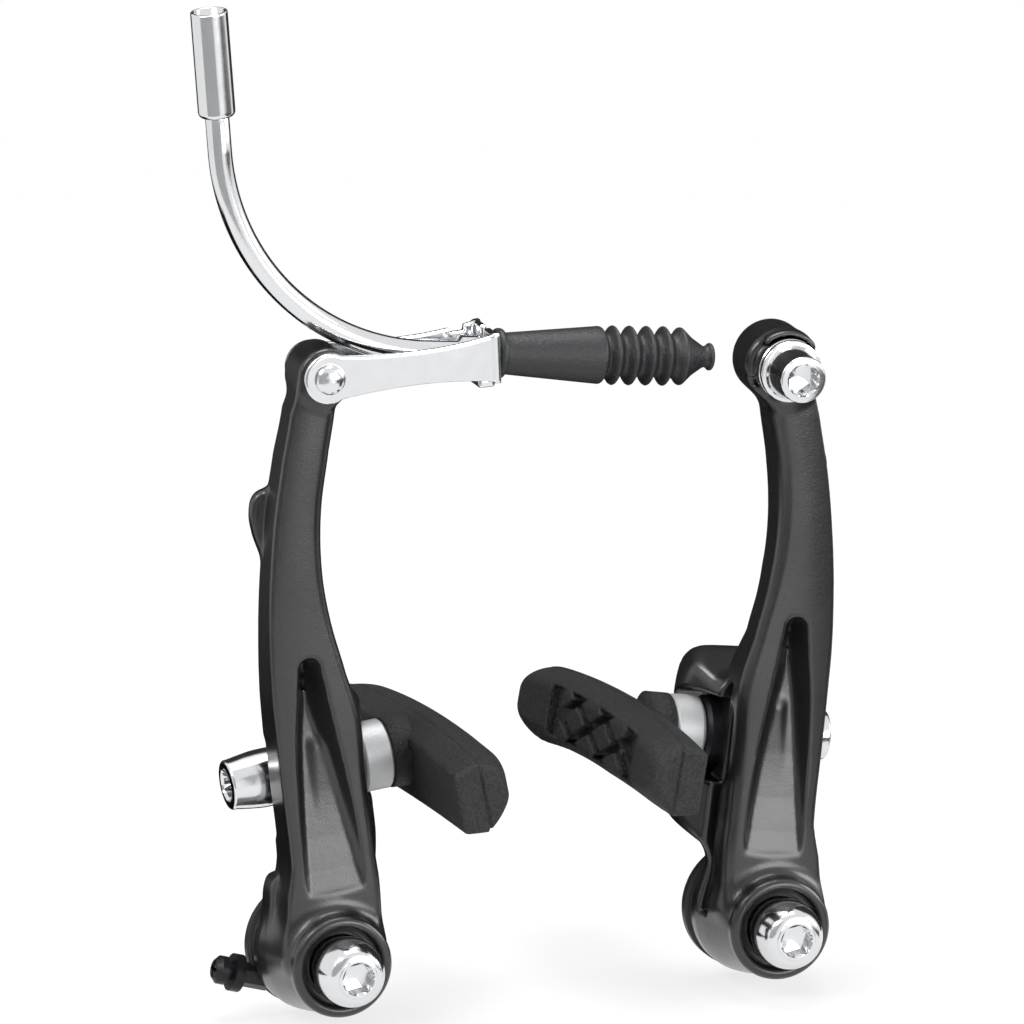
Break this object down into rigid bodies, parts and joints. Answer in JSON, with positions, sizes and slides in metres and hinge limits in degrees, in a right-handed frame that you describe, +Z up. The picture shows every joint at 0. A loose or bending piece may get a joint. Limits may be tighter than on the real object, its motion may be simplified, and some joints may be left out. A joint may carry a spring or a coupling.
{
  "type": "linear-pull bicycle rim brake",
  "caption": "Linear-pull bicycle rim brake: sprung forged arms with slotted brake pads, a swinging link, a bent cable guide tube and a bellows boot.",
  "frame": {"origin": "midway between the two pivot axes, on the plane of the frame boss shoulders that the bushings and spring housings rest on", "axes": "+X across the wheel, to the right as seen from outside the bicycle; +Y along the pivots towards the frame; +Z up, from the pivots towards the link"},
  "size_m": [0.1194, 0.0731, 0.181],
  "materials": {
    "arm_paint": "satin",
    "bushing_steel": "satin",
    "housing_plastic": "matt",
    "spring_steel": "satin",
    "black_steel": "satin",
    "pad_rubber": "matt",
    "washer_aluminium": "satin",
    "polished_steel": "polished",
    "liner_plastic": "satin",
    "boot_rubber": "satin",
    "chrome_steel": "polished"
  },
  "bodies": {
    "pivots": {"left_bushing": "bushing_steel", "right_bushing": "bushing_steel", "left_pivot_bolt": "chrome_steel", "right_pivot_bolt": "chrome_steel", "left_pivot_washer": "chrome_steel", "right_pivot_washer": "chrome_steel", "left_spring_housing": "housing_plastic", "right_spring_housing": "housing_plastic"},
    "left_arm": {"left_arm": "arm_paint", "left_return_spring": "spring_steel", "left_pad": "pad_rubber", "left_pad_stud": "chrome_steel", "left_thick_washer": "washer_aluminium", "left_inner_cup": "black_steel", "left_outer_cup": "black_steel", "left_thin_washer": "washer_aluminium", "left_pad_nut": "chrome_steel", "link_rivet": "chrome_steel"},
    "right_arm": {"right_arm": "arm_paint", "right_return_spring": "spring_steel", "right_pad": "pad_rubber", "right_pad_stud": "chrome_steel", "right_thick_washer": "washer_aluminium", "right_inner_cup": "black_steel", "right_outer_cup": "black_steel", "right_thin_washer": "washer_aluminium", "right_pad_nut": "chrome_steel", "anchor_bolt": "chrome_steel", "clamp_washer": "chrome_steel"},
    "link": {"link": "polished_steel"},
    "noodle": {"noodle_tube": "polished_steel", "ferrule": "polished_steel", "noodle_liner": "liner_plastic", "noodle_nose": "polished_steel", "boot": "boot_rubber"},
    "tension_screw": {"tension_screw": "black_steel"}
  },
  "joints": [
    {"name": "left_arm_pivot", "type": "hinge", "parent": "pivots", "child": "left_arm", "pos_m": [-0.04, 0, 0], "axis": [0, 1, 0], "range_deg": [-25, 5], "stiffness_Nm_per_rad": 1.5, "deforming": ["left_return_spring", "boot"]},
    {"name": "right_arm_pivot", "type": "hinge", "parent": "pivots", "child": "right_arm", "pos_m": [0.04, 0, 0], "axis": [0, -1, 0], "range_deg": [-25, 5], "stiffness_Nm_per_rad": 1.5, "deforming": ["right_return_spring", "boot"]},
    {"name": "link_pivot", "type": "hinge", "parent": "left_arm", "child": "link", "pos_m": [-0.04111, -0.0116, 0.10402], "axis": [0, -1, 0], "range_deg": [-30, 50]},
    {"name": "noodle_swivel", "type": "hinge", "parent": "link", "child": "noodle", "pos_m": [-0.01011, -0.0116, 0.10482], "axis": [0.9954, 0, -0.0958], "range_deg": [-25, 25]},
    {"name": "tension_screw_turn", "type": "hinge", "parent": "pivots", "child": "tension_screw", "pos_m": [-0.0522, -0.0019, -0.0048], "axis": [-0.9659, 0, 0.2588], "continuous": true}
  ]
}
